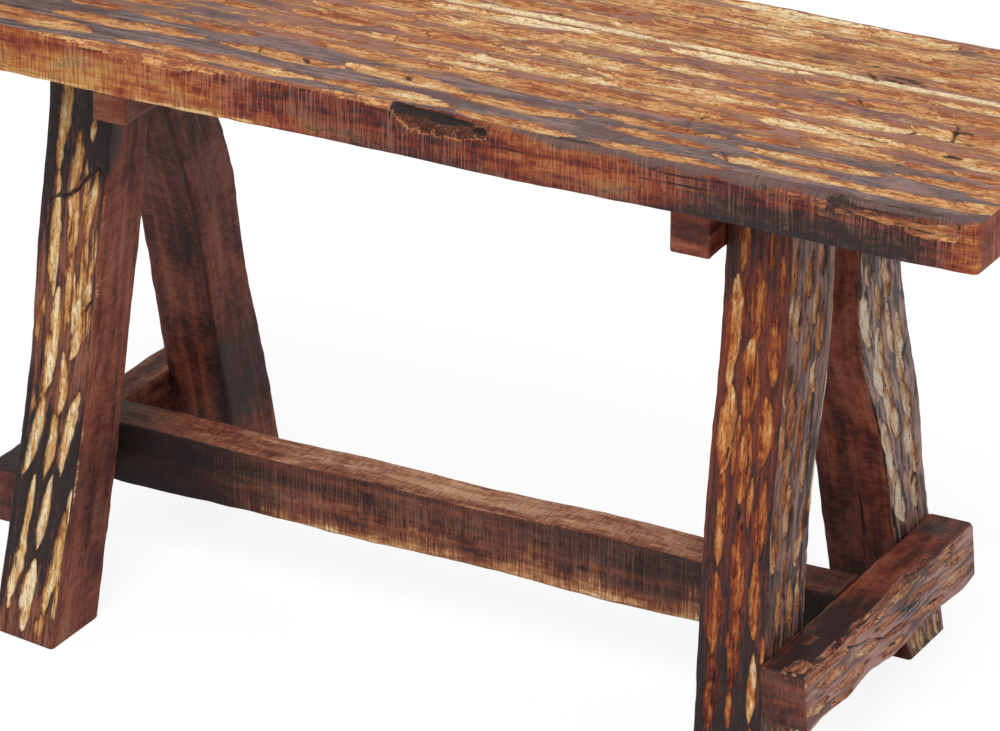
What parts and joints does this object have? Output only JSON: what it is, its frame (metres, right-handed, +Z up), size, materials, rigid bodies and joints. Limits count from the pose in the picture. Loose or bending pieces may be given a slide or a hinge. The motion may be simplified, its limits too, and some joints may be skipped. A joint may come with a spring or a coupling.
{
  "type": "rustic log bench",
  "caption": "Rustic bench of scorched, hollow-hewn timber: a thick plank top on splayed natural-edge legs, with upper and lower cross rails and a long low stretcher.",
  "frame": {"origin": "on the floor, in the middle of the bench's length and depth", "axes": "+X along the bench to its right end, +Y from front to back, +Z up"},
  "size_m": [0.877, 0.3306, 0.45],
  "materials": {
    "hewn_top": "satin varnish over scorched and hewn wood",
    "hewn_leg": "satin varnish over scorched and hewn wood",
    "hewn_rail": "satin varnish over scorched and hewn wood",
    "sawn_rail": "satin varnish over scorched sawn wood",
    "peg_wood": "bare turned wood",
    "screw_steel": "zinc plated"
  },
  "bodies": {
    "root": {"top_plank_front": "hewn_top", "top_plank_back": "hewn_top", "leg_front_left": "hewn_leg", "leg_front_right": "hewn_leg", "leg_back_left": "hewn_leg", "leg_back_right": "hewn_leg", "bolster_left": "sawn_rail", "bolster_right": "sawn_rail", "lower_rail_left": "hewn_rail", "lower_rail_right": "hewn_rail", "stretcher": "sawn_rail", "edge_dowels": "peg_wood", "frame_pegs": "peg_wood", "lag_screws": "screw_steel", "lag_washers": "screw_steel"}
  },
  "joints": []
}
